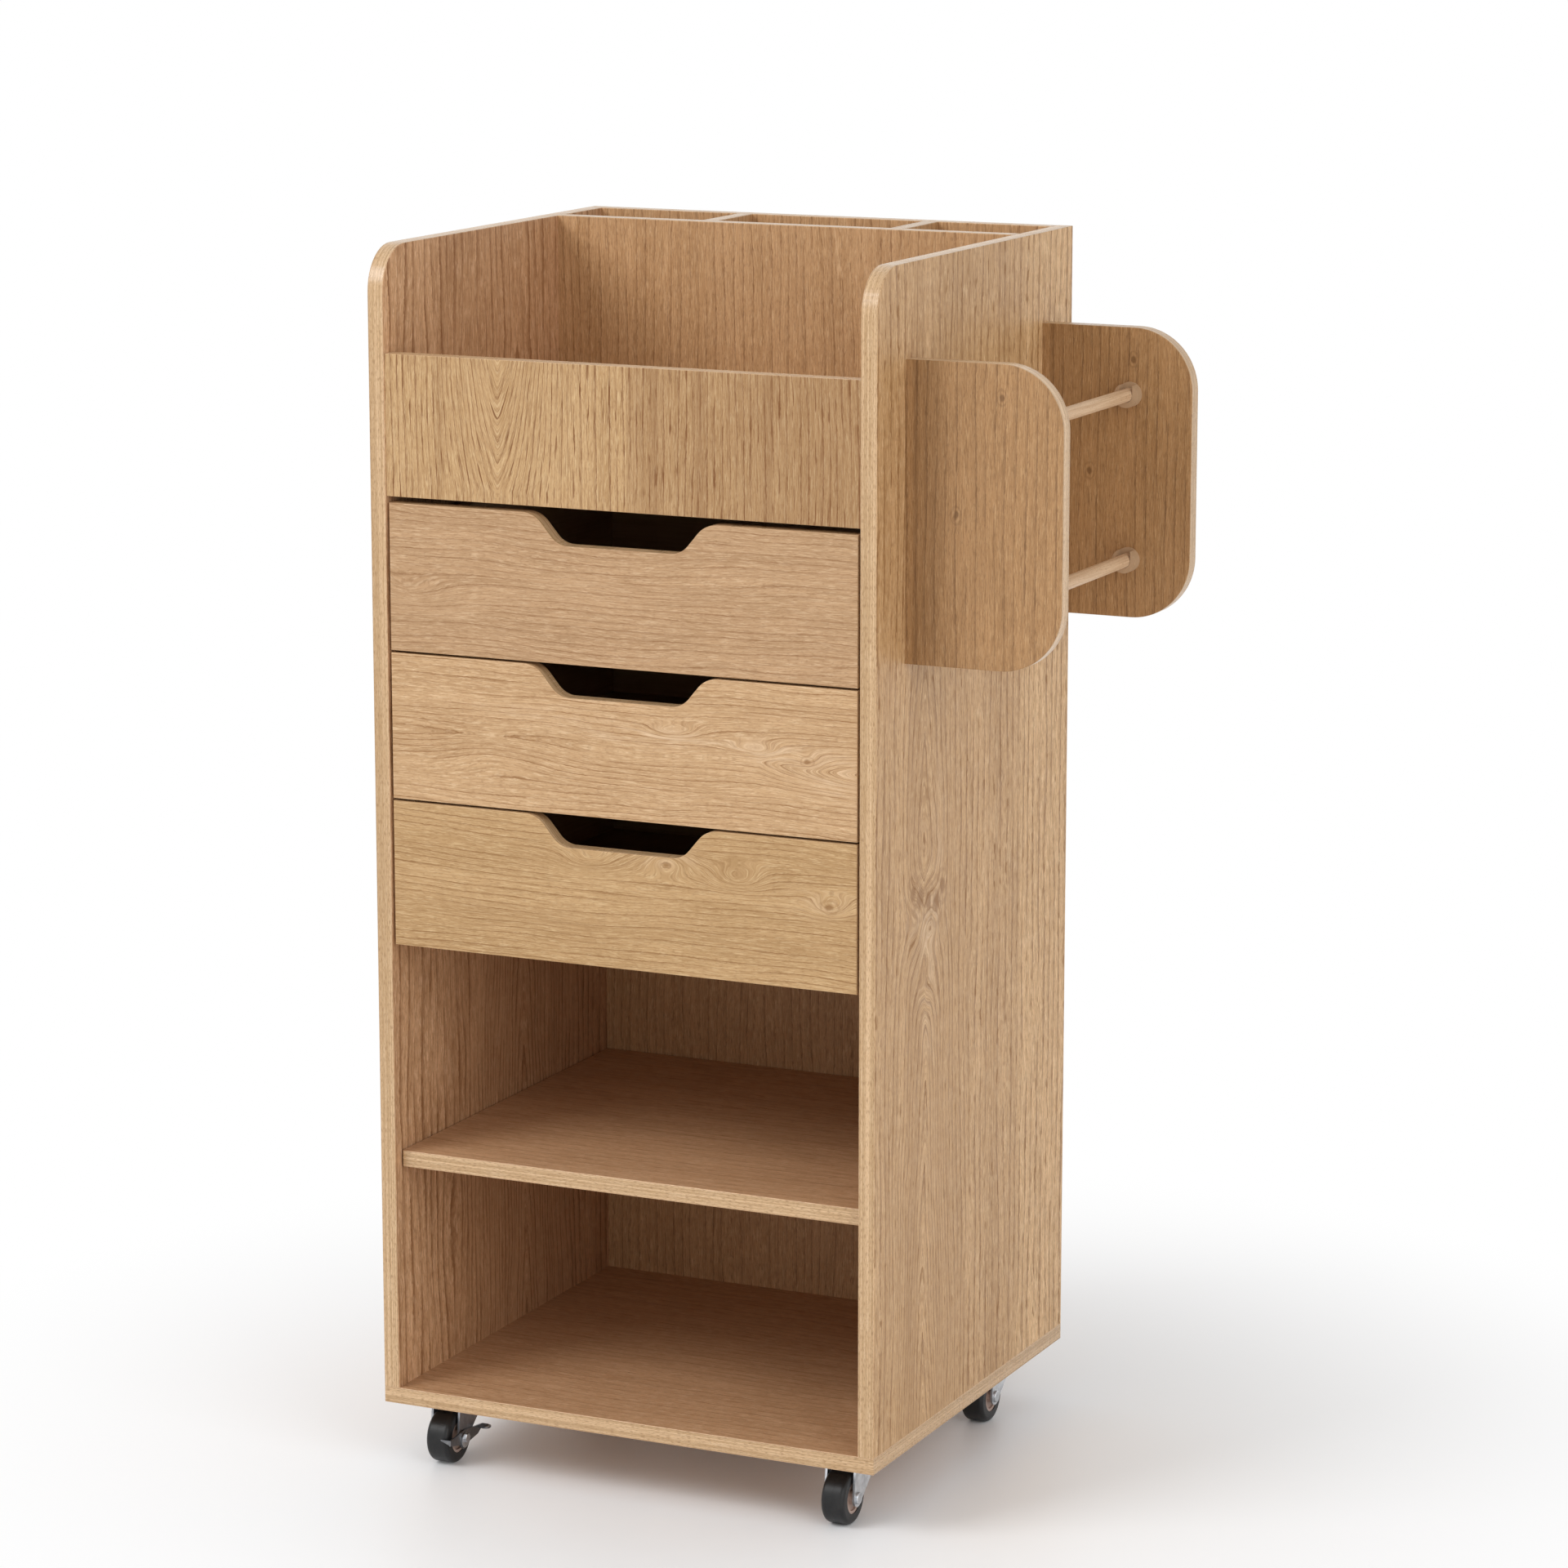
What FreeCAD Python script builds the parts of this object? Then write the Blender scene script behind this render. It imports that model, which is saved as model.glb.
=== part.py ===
import FreeCAD, Part
import math
import os
from FreeCAD import Vector

# Rolling craft trolley in 15 mm laminated board: an open tray with a pen box behind it, three
# drawers, two open bays, a ribbon rack on the right side and four swivel casters.
# Millimetres. X to the right, Y from front to back, Z up from the floor.

# Carcass
board = 15.0
carcass_width = 480.0
carcass_depth = 430.0
lower_bay_height = 203.0
upper_bay_height = 190.0
side_rise = 92.0
side_corner_radius = 40.0
edge_radius = 0.8
front_setback = 1.0
overcut = 1.0
tolerance = 1e-4
shelf_setback = 10.0
shelf_side_gap = 1.5
shelf_back_gap = 2.0
bay_top_lift = 2.0
bay_top_setback = 3.0

# Tray and pen box
tray_front_height = 124.0
pen_box_depth = 73.0
pen_floor_drop = 70.0
pen_left_width = 140.0
pen_middle_width = 170.0

# Drawers
drawer_count = 3
drawer_front_height = 129.5
drawer_gap = 2.0
drawer_side_gap = 2.5
top_drawer_gap = 5.5
drawer_back_gap = 19.0
drawer_box_height = 95.0
drawer_box_lift = 20.0
drawer_side_thickness = 12.0
drawer_bottom_thickness = 3.0
drawer_bottom_lift = 10.0
groove_depth = 5.0
groove_clearance = 0.2

# Hand cut-out in the top of each drawer front
handle_width = 185.0
handle_depth = 27.0
handle_slope = 50.0
handle_shoulder_radius = 24.0
handle_bottom_radius = 21.0

# Drawer runners: a channel on the cabinet side, with the drawer's channel nested in it
runner_back_gap = 26.0
runner_height = 27.0
runner_setback = 4.0
runner_wall = 1.2
runner_gap = 12.7
runner_clearance = 0.3
runner_web_gap = 1.5

# Shelf supports
shelf_pin_radius = 2.5
shelf_pin_depth = 9.0
shelf_pin_tongue_reach = 9.0
shelf_pin_tongue_width = 10.0
shelf_pin_tongue_thickness = 2.0
shelf_pin_inset = 60.0

# Ribbon rack
rack_projection = 142.0
rack_height = 258.0
rack_drop = 80.0
rack_front_inset = 59.0
rack_inner_width = 286.0
rack_corner_radius = 55.0
rod_reach = 84.0
rod_top_drop = 59.0
rod_spacing = 147.0
rod_radius = 6.0
rod_end_gap = 0.3
cup_radius = 11.0
cup_length = 12.0
cup_base = 2.0
cup_clearance = 0.3

# Joinery
cam_radius = 7.4
cam_height = 12.5
cam_inset = 24.0
cam_edge_inset = 24.0
cam_row_inset = 48.0
cam_clearance = 0.2
cam_bolt_radius = 3.5
cam_bolt_shank_radius = 2.9
cam_bolt_depth = 10.0
cam_bolt_tip_gap = 3.7
cam_bore_radius = 4.0
cam_driver_slot = 1.6
cam_driver_length = 9.0
cam_driver_depth = 3.0
screw_radius = 3.2
screw_head_radius = 5.0
screw_head_height = 4.0
screw_length = 50.0
screw_clearance = 0.1
screw_socket_radius = 2.0
screw_socket_depth = 2.5
screw_tip_gap = 1.0
screw_edge_inset = 40.0
screw_back_inset = 80.0
rack_screw_top_inset = 40.0
rack_screw_bottom_inset = 20.0

# Casters
caster_inset_x = 45.0
caster_inset_y = 60.0
caster_trail = 24.0
wheel_radius = 24.0
wheel_width = 22.0
wheel_crown_gap = 4.0
wheel_shoulder_radius = 4.0
hub_radius = 14.5
hub_width = 20.0
hub_recess_radius = 12.0
hub_recess_depth = 2.0
hub_boss_radius = 6.0
hub_seat_clearance = 0.05
axle_radius = 3.0
axle_clearance = 0.05
axle_head_radius = 5.5
axle_head_height = 2.0
fork_wall = 2.0
fork_side_clearance = 1.5
fork_crown_thickness = 2.2
fork_crown_radius = 15.0
fork_end_radius = 8.0
fork_front_lead = 4.0
fork_leg_drop = 9.0
fork_leg_back_angle = -55.0
hub_end_clearance = 0.2
plate_thickness = 2.5
plate_corner_radius = 4.0
plate_hole_spacing = 34.0
plate_hole_inset = 6.0
plate_screw_radius = 2.0
plate_screw_length = 12.0
plate_screw_head_radius = 3.8
plate_screw_head_height = 2.0
plate_screw_slot_length = 5.3
plate_screw_slot_width = 1.0
plate_screw_slot_depth = 1.0
swivel_boss_radius = 13.0
swivel_boss_height = 3.0
swivel_clearance = 0.3
kingpin_radius = 4.0
kingpin_clearance = 0.05
kingpin_head_radius = 7.0
kingpin_head_height = 2.0

# Brake levers on the two left casters, each turning on an eccentric collar of its axle
lever_thickness = 1.6
lever_clearance = 0.3
lever_boss_radius = 8.0
lever_eccentricity = 2.4
lever_collar_radius = 5.7
lever_washer_radius = 6.7
lever_washer_thickness = 0.8
lever_nose_gap = 0.8
lever_nose_overlap = 5.0
lever_nose_point = 1.0
lever_nose_lift = 3.5
lever_arm_height = 7.0
lever_arm_back_height = 5.0
lever_pedal_reach = 34.0
lever_pedal_length = 9.0
lever_pedal_width = 10.0
lever_pedal_lift = 3.0
lever_pedal_corner_radius = 3.5
lever_pedal_rib_radius = 0.7
lever_pedal_rib_count = 4
lever_nut_radius = 4.2
lever_nut_height = 2.4
lever_nut_sides = 6

# Sizes and places worked out from the sizes above
plate_size = plate_hole_spacing + 2 * plate_hole_inset
swivel_height = plate_thickness + swivel_boss_height + swivel_clearance
caster_height = 2 * wheel_radius + wheel_crown_gap + fork_crown_thickness + swivel_height
left = -(carcass_width + rack_projection) / 2
right = left + carcass_width
front = -carcass_depth / 2
back = front + carcass_depth
inner_left = left + board
inner_right = right - board
base_bottom = caster_height
base_top = base_bottom + board
shelf_bottom = base_top + lower_bay_height
shelf_top = shelf_bottom + board
drawers_bottom = shelf_top + upper_bay_height
drawer_pitch = drawer_front_height + drawer_gap
drawers_top = drawers_bottom + drawer_count * drawer_pitch - drawer_gap
tray_floor_bottom = drawers_top + top_drawer_gap
tray_floor_top = tray_floor_bottom + board
tray_front_top = tray_floor_bottom + tray_front_height
carcass_top = tray_front_top + side_rise
fronts_y = front + front_setback
fronts_back = fronts_y + board
back_panel_y = back - board
pen_wall_back = back_panel_y - pen_box_depth
pen_wall_y = pen_wall_back - board
pen_floor_top = carcass_top - pen_floor_drop
pen_floor_bottom = pen_floor_top - board
pen_divider_xs = (inner_left + pen_left_width, inner_left + pen_left_width + board + pen_middle_width)
bay_top_bottom = drawers_bottom + bay_top_lift
bay_top_top = bay_top_bottom + board
bay_top_y = fronts_back + bay_top_setback
box_left = inner_left + runner_gap
box_right = inner_right - runner_gap
box_back = back_panel_y - drawer_back_gap
rack_top = carcass_top - rack_drop
rack_bottom = rack_top - rack_height
rack_outer = right + rack_projection
rack_front_y = front + rack_front_inset
rack_rear_y = rack_front_y + board + rack_inner_width
rod_x = right + rod_reach
rod_zs = {"upper": rack_top - rod_top_drop, "lower": rack_top - rod_top_drop - rod_spacing}
caster_places = {
    "front_left": (left + caster_inset_x, front + caster_inset_y),
    "front_right": (right - caster_inset_x, front + caster_inset_y),
    "back_left": (left + caster_inset_x, back - caster_inset_y),
    "back_right": (right - caster_inset_x, back - caster_inset_y),
}

X_AXIS = Vector(1, 0, 0)
Y_AXIS = Vector(0, 1, 0)
Z_AXIS = Vector(0, 0, 1)


def box(x0, x1, y0, y1, z0, z1):
    return Part.makeBox(x1 - x0, y1 - y0, z1 - z0, Vector(x0, y0, z0))


def rod(radius, start, end):
    along = end - start
    return Part.makeCylinder(radius, along.Length, start, along)


def near(a, b):
    return abs(a - b) < tolerance


def soften(shape, chosen, radius=edge_radius):
    """Round the edges for which chosen(edge bounding box) is true."""
    edges = [edge for edge in shape.Edges if chosen(edge.BoundBox)]
    return shape.makeFillet(radius, edges)


def on_plane(low, high, value):
    return near(low, value) and near(high, value)


def front_edges(shape, y):
    """Round the four edges of the face that looks to the front."""
    return soften(shape, lambda b: on_plane(b.YMin, b.YMax, y))


def profile(points):
    """A closed wire through points; a point given with a radius is rounded by a tangent arc."""
    count = len(points)
    starts = []
    ends = []
    arcs = []
    for i, (point, radius) in enumerate(points):
        if radius == 0:
            starts.append(point)
            ends.append(point)
            arcs.append(None)
            continue
        before = (points[i - 1][0] - point).normalize()
        after = (points[(i + 1) % count][0] - point).normalize()
        half = before.getAngle(after) / 2
        reach = radius / math.tan(half)
        centre = point + (before + after).normalize() * (radius / math.sin(half))
        middle = centre + (point - centre).normalize() * radius
        starts.append(point + before * reach)
        ends.append(point + after * reach)
        arcs.append(Part.Arc(starts[-1], middle, ends[-1]).toShape())
    edges = []
    for i in range(count):
        if arcs[i]:
            edges.append(arcs[i])
        following = starts[(i + 1) % count]
        if (following - ends[i]).Length > tolerance:
            edges.append(Part.LineSegment(ends[i], following).toShape())
    return Part.Wire(edges)


def plate(points, along):
    return Part.Face(profile(points)).extrude(along)


def group(shapes):
    return Part.makeCompound(shapes)


def save(name, shape):
    os.makedirs("parts", exist_ok=True)
    shape.exportStep("parts/" + name + ".step")


# Joinery: a cam joint pulls a panel's end against a side panel, a screw holds board to board

class Joinery:
    def __init__(self):
        self.locks = []
        self.bolts = []
        self.screws = []
        self.panel_cuts = []
        self.side_cuts = []

    def cam(self, side_x, toward, y, z, lock_axis):
        """A bolt in the side panel's inner face at side_x and a lock in the panel's face."""
        along = X_AXIS * toward
        seat = Vector(side_x, y, z)
        centre = seat + along * cam_inset
        face = centre + lock_axis * (board / 2)
        lock = rod(cam_radius, face - lock_axis * cam_height, face)
        slot_middle = face - lock_axis * (cam_driver_depth / 2)
        across = lock_axis.cross(X_AXIS)
        width = Vector(*(abs(v) for v in across)) * cam_driver_slot
        length = X_AXIS * cam_driver_length
        height = Vector(*(abs(v) for v in lock_axis)) * cam_driver_depth
        size = width + length + height
        slot = Part.makeBox(size.x, size.y, size.z, slot_middle - size * 0.5)
        bore = rod(cam_bore_radius, seat, centre)
        self.locks.append(lock.cut([slot, bore]))
        thread = rod(cam_bolt_radius, seat - along * cam_bolt_depth, seat)
        shank_end = seat + along * (cam_inset - cam_bolt_tip_gap)
        shank = rod(cam_bolt_shank_radius, seat, shank_end)
        self.bolts.append(thread.fuse(shank).removeSplitter())
        pocket_radius = cam_radius + cam_clearance
        pocket_floor = face - lock_axis * (cam_height + cam_clearance)
        self.panel_cuts.append(bore)
        self.panel_cuts.append(rod(pocket_radius, pocket_floor, face + lock_axis * overcut))
        hole_end = seat + along * overcut
        self.side_cuts.append(rod(cam_bolt_radius, seat - along * cam_bolt_depth, hole_end))

    def cam_pairs(self, places, lock_axis):
        """Cam joints at both ends of a panel between the sides, one pair for each (y, z)."""
        for y, z in places:
            self.cam(inner_left, 1, y, z, lock_axis)
            self.cam(inner_right, -1, y, z, lock_axis)

    def screw(self, head, direction):
        """A screw whose head is flush at the point head and which runs along direction."""
        tip = head + direction * screw_length
        neck = head + direction * screw_head_height
        cone = Part.makeCone(screw_head_radius, screw_radius, screw_head_height, head, direction)
        socket = rod(screw_socket_radius, head, head + direction * screw_socket_depth)
        body = cone.fuse(rod(screw_radius, neck, tip)).removeSplitter().cut(socket)
        self.screws.append(body)
        hole_radius = screw_radius + screw_clearance
        hole_head = screw_head_radius + screw_clearance
        sink = Part.makeCone(hole_head, hole_radius, screw_head_height, head, direction)
        hole = rod(hole_radius, head, tip + direction * screw_tip_gap)
        self.panel_cuts.append(sink)
        self.panel_cuts.append(hole)


def cut_joints(shape, joinery):
    """Cut every joint's hole that reaches this panel."""
    reach = shape.BoundBox
    tools = [t for t in joinery.panel_cuts + joinery.side_cuts if t.BoundBox.intersect(reach)]
    return shape.cut(tools) if tools else shape


def lay_out_joinery():
    joinery = Joinery()
    floor_mid = tray_floor_bottom + board / 2
    bay_mid = bay_top_bottom + board / 2
    floor_ys = (fronts_back + cam_row_inset, back_panel_y - cam_row_inset)
    joinery.cam_pairs([(y, floor_mid) for y in floor_ys], -Z_AXIS)
    joinery.cam_pairs([(y, bay_mid) for y in floor_ys], -Z_AXIS)
    pen_mid = pen_floor_bottom + board / 2
    joinery.cam_pairs([((pen_wall_back + back_panel_y) / 2, pen_mid)], -Z_AXIS)
    front_zs = (tray_floor_top + cam_edge_inset, tray_front_top - cam_edge_inset)
    joinery.cam_pairs([(fronts_y + board / 2, z) for z in front_zs], Y_AXIS)
    wall_zs = (tray_floor_top + cam_edge_inset, pen_floor_bottom - cam_edge_inset)
    joinery.cam_pairs([(pen_wall_y + board / 2, z) for z in wall_zs], Y_AXIS)
    back_zs = [top + cam_row_inset for top in (base_top, bay_top_top, tray_floor_top)]
    joinery.cam_pairs([(back_panel_y + board / 2, z) for z in back_zs], Y_AXIS)
    for x in (left + board / 2, right - board / 2):
        for y in (front + screw_edge_inset, (front + back) / 2, back - screw_edge_inset):
            joinery.screw(Vector(x, y, base_bottom), Z_AXIS)
    for x in (inner_left + screw_back_inset, inner_right - screw_back_inset):
        joinery.screw(Vector(x, back_panel_y + board / 2, base_bottom), Z_AXIS)
    for y in (rack_front_y + board / 2, rack_rear_y + board / 2):
        for z in (rack_top - rack_screw_top_inset, rack_bottom + rack_screw_bottom_inset):
            joinery.screw(Vector(inner_right, y, z), X_AXIS)
    return joinery


# Carcass panels

def base_panel():
    shape = box(left, right, front, back, base_bottom, base_top)
    return soften(shape, lambda b: not near(b.ZMin, b.ZMax) or near(b.YMax, front) or near(b.XMin, right))


def side_panel(x):
    outline = [
        (Vector(x, front, base_top), 0),
        (Vector(x, back, base_top), 0),
        (Vector(x, back, carcass_top), 0),
        (Vector(x, front, carcass_top), side_corner_radius),
    ]
    shape = plate(outline, X_AXIS * board)

    def exposed(b):
        on_face = on_plane(b.XMin, b.XMax, x) or on_plane(b.XMin, b.XMax, x + board)
        return on_face and not on_plane(b.ZMin, b.ZMax, base_top)
    return soften(shape, exposed)


def back_panel():
    shape = box(inner_left, inner_right, back_panel_y, back, base_top, carcass_top)
    return soften(shape, lambda b: on_plane(b.ZMin, b.ZMax, carcass_top) and near(b.YMin, b.YMax))


def tray_front():
    shape = box(inner_left, inner_right, fronts_y, fronts_back, tray_floor_bottom, tray_front_top)
    return soften(shape, lambda b: near(b.YMin, b.YMax) and near(b.ZMin, b.ZMax) and
                  (near(b.YMin, fronts_y) or near(b.ZMin, tray_front_top)))


def pen_box_front():
    shape = box(inner_left, inner_right, pen_wall_y, pen_wall_back, tray_floor_top, carcass_top)
    return soften(shape, lambda b: on_plane(b.ZMin, b.ZMax, carcass_top) and near(b.YMin, b.YMax))


def pen_divider(x):
    shape = box(x, x + board, pen_wall_back, back_panel_y, pen_floor_top, carcass_top)
    return soften(shape, lambda b: on_plane(b.ZMin, b.ZMax, carcass_top) and near(b.XMin, b.XMax))


def shelf():
    y0 = front + shelf_setback
    y1 = back_panel_y - shelf_back_gap
    x0 = inner_left + shelf_side_gap
    x1 = inner_right - shelf_side_gap
    return front_edges(box(x0, x1, y0, y1, shelf_bottom, shelf_top), y0)


def shelf_pin_places():
    ys = (front + shelf_pin_inset, back_panel_y - shelf_pin_inset)
    return [(x, toward, y) for y in ys for x, toward in ((inner_left, 1), (inner_right, -1))]


def shelf_pin_hole(x, toward, y):
    z = shelf_bottom - shelf_pin_tongue_thickness - shelf_pin_radius
    start = Vector(x - toward * shelf_pin_depth, y, z)
    return rod(shelf_pin_radius, start, Vector(x + toward * overcut, y, z))


def shelf_pin(x, toward, y):
    """A spade pin: a stem in the side panel and a flat tongue under the shelf."""
    z = shelf_bottom - shelf_pin_tongue_thickness - shelf_pin_radius
    start = Vector(x - toward * shelf_pin_depth, y, z)
    stem = rod(shelf_pin_radius, start, Vector(x + toward * shelf_pin_tongue_reach, y, z))
    half = shelf_pin_tongue_width / 2
    xs = sorted((x, x + toward * shelf_pin_tongue_reach))
    tongue = box(xs[0], xs[1], y - half, y + half, shelf_bottom - shelf_pin_tongue_thickness, shelf_bottom)
    web_half = shelf_pin_tongue_thickness / 2
    web = box(xs[0], xs[1], y - web_half, y + web_half, z, shelf_bottom)
    return stem.fuse([tongue, web]).removeSplitter()


# Drawers

def handle_corners(y, top):
    """The notch's outline in a drawer front's top edge, from right to left."""
    middle = (inner_left + inner_right) / 2
    run = handle_depth / math.tan(math.radians(handle_slope))
    shoulder = handle_shoulder_radius * math.tan(math.radians(handle_slope / 2))
    outer = handle_width / 2 - shoulder
    inner = outer - run
    low = top - handle_depth
    return [
        (Vector(middle + outer, y, top), handle_shoulder_radius),
        (Vector(middle + inner, y, low), handle_bottom_radius),
        (Vector(middle - inner, y, low), handle_bottom_radius),
        (Vector(middle - outer, y, top), handle_shoulder_radius),
    ]


def drawer_front(bottom):
    top = bottom + drawer_front_height
    x0 = inner_left + drawer_side_gap
    x1 = inner_right - drawer_side_gap
    outline = [(Vector(x0, fronts_y, bottom), 0), (Vector(x1, fronts_y, bottom), 0)]
    outline += [(Vector(x1, fronts_y, top), 0)] + handle_corners(fronts_y, top)
    outline += [(Vector(x0, fronts_y, top), 0)]
    shape = plate(outline, Y_AXIS * board)

    def exposed(b):
        at_front = on_plane(b.YMin, b.YMax, fronts_y)
        at_back = on_plane(b.YMin, b.YMax, fronts_back)
        return at_front or (at_back and not on_plane(b.ZMin, b.ZMax, bottom))
    shape = soften(shape, exposed)
    return shape.cut(drawer_bottom_space(bottom))


def drawer_bottom_space(bottom, clearance=groove_clearance):
    """The room that the drawer's bottom sheet takes in its grooves, with this clearance."""
    z = bottom + drawer_box_lift + drawer_bottom_lift
    inset = drawer_side_thickness - groove_depth - clearance
    return box(box_left + inset, box_right - inset, fronts_back - groove_depth - clearance,
               box_back + clearance, z - clearance, z + drawer_bottom_thickness + clearance)


def drawer_side(x, bottom):
    z0 = bottom + drawer_box_lift
    shape = box(x, x + drawer_side_thickness, fronts_back, box_back, z0, z0 + drawer_box_height)
    top = z0 + drawer_box_height
    shape = soften(shape, lambda b: on_plane(b.ZMin, b.ZMax, top) and near(b.XMin, b.XMax))
    return shape.cut(drawer_bottom_space(bottom))


def drawer_back(bottom):
    z0 = bottom + drawer_box_lift + drawer_bottom_lift + drawer_bottom_thickness
    top = bottom + drawer_box_lift + drawer_box_height
    x0 = box_left + drawer_side_thickness
    x1 = box_right - drawer_side_thickness
    shape = box(x0, x1, box_back - drawer_side_thickness, box_back, z0, top)
    return soften(shape, lambda b: on_plane(b.ZMin, b.ZMax, top) and near(b.YMin, b.YMax))


def runner_centre(bottom):
    return bottom + drawer_box_lift + drawer_box_height / 2


def channel(x_web, toward, depth, height, bottom):
    """A channel rail: a web at x_web and two flanges that reach depth towards the given side."""
    z = runner_centre(bottom)
    y0 = fronts_back + runner_setback
    y1 = box_back - runner_back_gap
    xs = sorted((x_web, x_web + toward * depth))
    outer = box(xs[0], xs[1], y0, y1, z - height / 2, z + height / 2)
    open_xs = sorted((x_web + toward * runner_wall, x_web + toward * (depth + overcut)))
    inner_half = height / 2 - runner_wall
    hollow = box(open_xs[0], open_xs[1], y0 - overcut, y1 + overcut, z - inner_half, z + inner_half)
    return outer.cut(hollow)


def cabinet_runners():
    depth = runner_gap - runner_web_gap - runner_wall
    rails = []
    for i in range(drawer_count):
        bottom = drawers_bottom + i * drawer_pitch
        rails.append(channel(inner_left, 1, depth, runner_height, bottom))
        rails.append(channel(inner_right, -1, depth, runner_height, bottom))
    return group(rails)


def drawer_runners(bottom):
    height = runner_height - 2 * (runner_wall + runner_clearance)
    depth = runner_gap - runner_web_gap - runner_wall
    left_rail = channel(box_left, -1, depth, height, bottom)
    right_rail = channel(box_right, 1, depth, height, bottom)
    return group([left_rail, right_rail])


# Ribbon rack

def rack_plate(y):
    outline = [
        (Vector(right, y, rack_bottom), 0),
        (Vector(rack_outer, y, rack_bottom), rack_corner_radius),
        (Vector(rack_outer, y, rack_top), rack_corner_radius),
        (Vector(right, y, rack_top), 0),
    ]
    shape = plate(outline, Y_AXIS * board)

    def exposed(b):
        on_face = on_plane(b.YMin, b.YMax, y) or on_plane(b.YMin, b.YMax, y + board)
        return on_face and not on_plane(b.XMin, b.XMax, right)
    return soften(shape, exposed)


def rod_cup(y, toward, z):
    """A holder on a rack plate's inner face, open at the top so that the rod lifts out."""
    centre = Vector(rod_x, y, z)
    along = Y_AXIS * toward
    slot_radius = rod_radius + cup_clearance
    body = rod(cup_radius, centre, centre + along * cup_length)
    inner = centre + along * cup_base
    outer = centre + along * (cup_length + overcut)
    bore = rod(slot_radius, inner, outer)
    ys = sorted((inner.y, outer.y))
    slot = box(rod_x - slot_radius, rod_x + slot_radius, ys[0], ys[1], z, z + cup_radius + overcut)
    return body.cut([bore, slot])


def rod_cups():
    inner_front = rack_front_y + board
    cups = []
    for z in rod_zs.values():
        cups.append(rod_cup(inner_front, 1, z))
        cups.append(rod_cup(rack_rear_y, -1, z))
    return group(cups)


def ribbon_rod(z):
    start = rack_front_y + board + cup_base + rod_end_gap
    end = rack_rear_y - cup_base - rod_end_gap
    shape = rod(rod_radius, Vector(rod_x, start, z), Vector(rod_x, end, z))
    return soften(shape, lambda b: near(b.YMin, b.YMax))


# Casters. Each trails towards the front, so its axle lies in front of the swivel axis

def caster_plate(x, y):
    half = plate_size / 2
    z = base_bottom - plate_thickness
    corners = [Vector(x + sx * half, y + sy * half, z) for sx, sy in ((-1, -1), (1, -1), (1, 1), (-1, 1))]
    shape = plate([(c, plate_corner_radius) for c in corners], Z_AXIS * plate_thickness)
    centre = Vector(x, y, z)
    boss = rod(swivel_boss_radius, centre - Z_AXIS * swivel_boss_height, centre)
    crown_top = z - swivel_boss_height - swivel_clearance
    head_top = crown_top - fork_crown_thickness - swivel_clearance
    pin = rod(kingpin_radius, Vector(x, y, head_top), centre)
    head = rod(kingpin_head_radius, Vector(x, y, head_top - kingpin_head_height), Vector(x, y, head_top))
    head = soften(head, lambda b: on_plane(b.ZMin, b.ZMax, head_top - kingpin_head_height))
    shape = shape.fuse([boss, pin, head]).removeSplitter()
    holes = []
    for hx, hy in plate_holes(x, y):
        bottom = Vector(hx, hy, z - overcut)
        top = Vector(hx, hy, base_bottom + overcut)
        holes.append(rod(plate_screw_radius + screw_clearance, bottom, top))
    return shape.cut(holes)


def plate_holes(x, y):
    half = plate_hole_spacing / 2
    return [(x + sx * half, y + sy * half) for sx in (-1, 1) for sy in (-1, 1)]


def plate_screw(x, y):
    under = base_bottom - plate_thickness
    shank = rod(plate_screw_radius, Vector(x, y, under), Vector(x, y, under + plate_screw_length))
    head_bottom = under - plate_screw_head_height
    head = rod(plate_screw_head_radius, Vector(x, y, head_bottom), Vector(x, y, under))
    head = soften(head, lambda b: on_plane(b.ZMin, b.ZMax, head_bottom))
    long = plate_screw_slot_length / 2
    wide = plate_screw_slot_width / 2
    slot_top = head_bottom + plate_screw_slot_depth
    slots = [
        box(x - long, x + long, y - wide, y + wide, head_bottom, slot_top),
        box(x - wide, x + wide, y - long, y + long, head_bottom, slot_top),
    ]
    return shank.fuse(head).removeSplitter().cut(slots)


def plate_screw_holes():
    holes = []
    for x, y in caster_places.values():
        for hx, hy in plate_holes(x, y):
            tip = base_bottom - plate_thickness + plate_screw_length
            holes.append(rod(plate_screw_radius, Vector(hx, hy, base_bottom - overcut), Vector(hx, hy, tip)))
    return holes


def leg_outline(x, axle):
    """A fork leg in the plane of x: wide at the crown, round at the axle."""
    top = base_bottom - swivel_height
    pivot_y = axle.y + caster_trail
    back_y = pivot_y + fork_crown_radius
    turn = math.radians(fork_leg_back_angle)
    under = Vector(x, axle.y + fork_end_radius * math.cos(turn), axle.z + fork_end_radius * math.sin(turn))
    lead = axle.y - fork_front_lead
    points = [
        Vector(x, lead, top),
        Vector(x, back_y, top),
        Vector(x, back_y, top - fork_leg_drop),
        under,
        Vector(x, axle.y, axle.z),
        Vector(x, axle.y - fork_end_radius, axle.z),
    ]
    return [(point, 0) for point in points]


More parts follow.
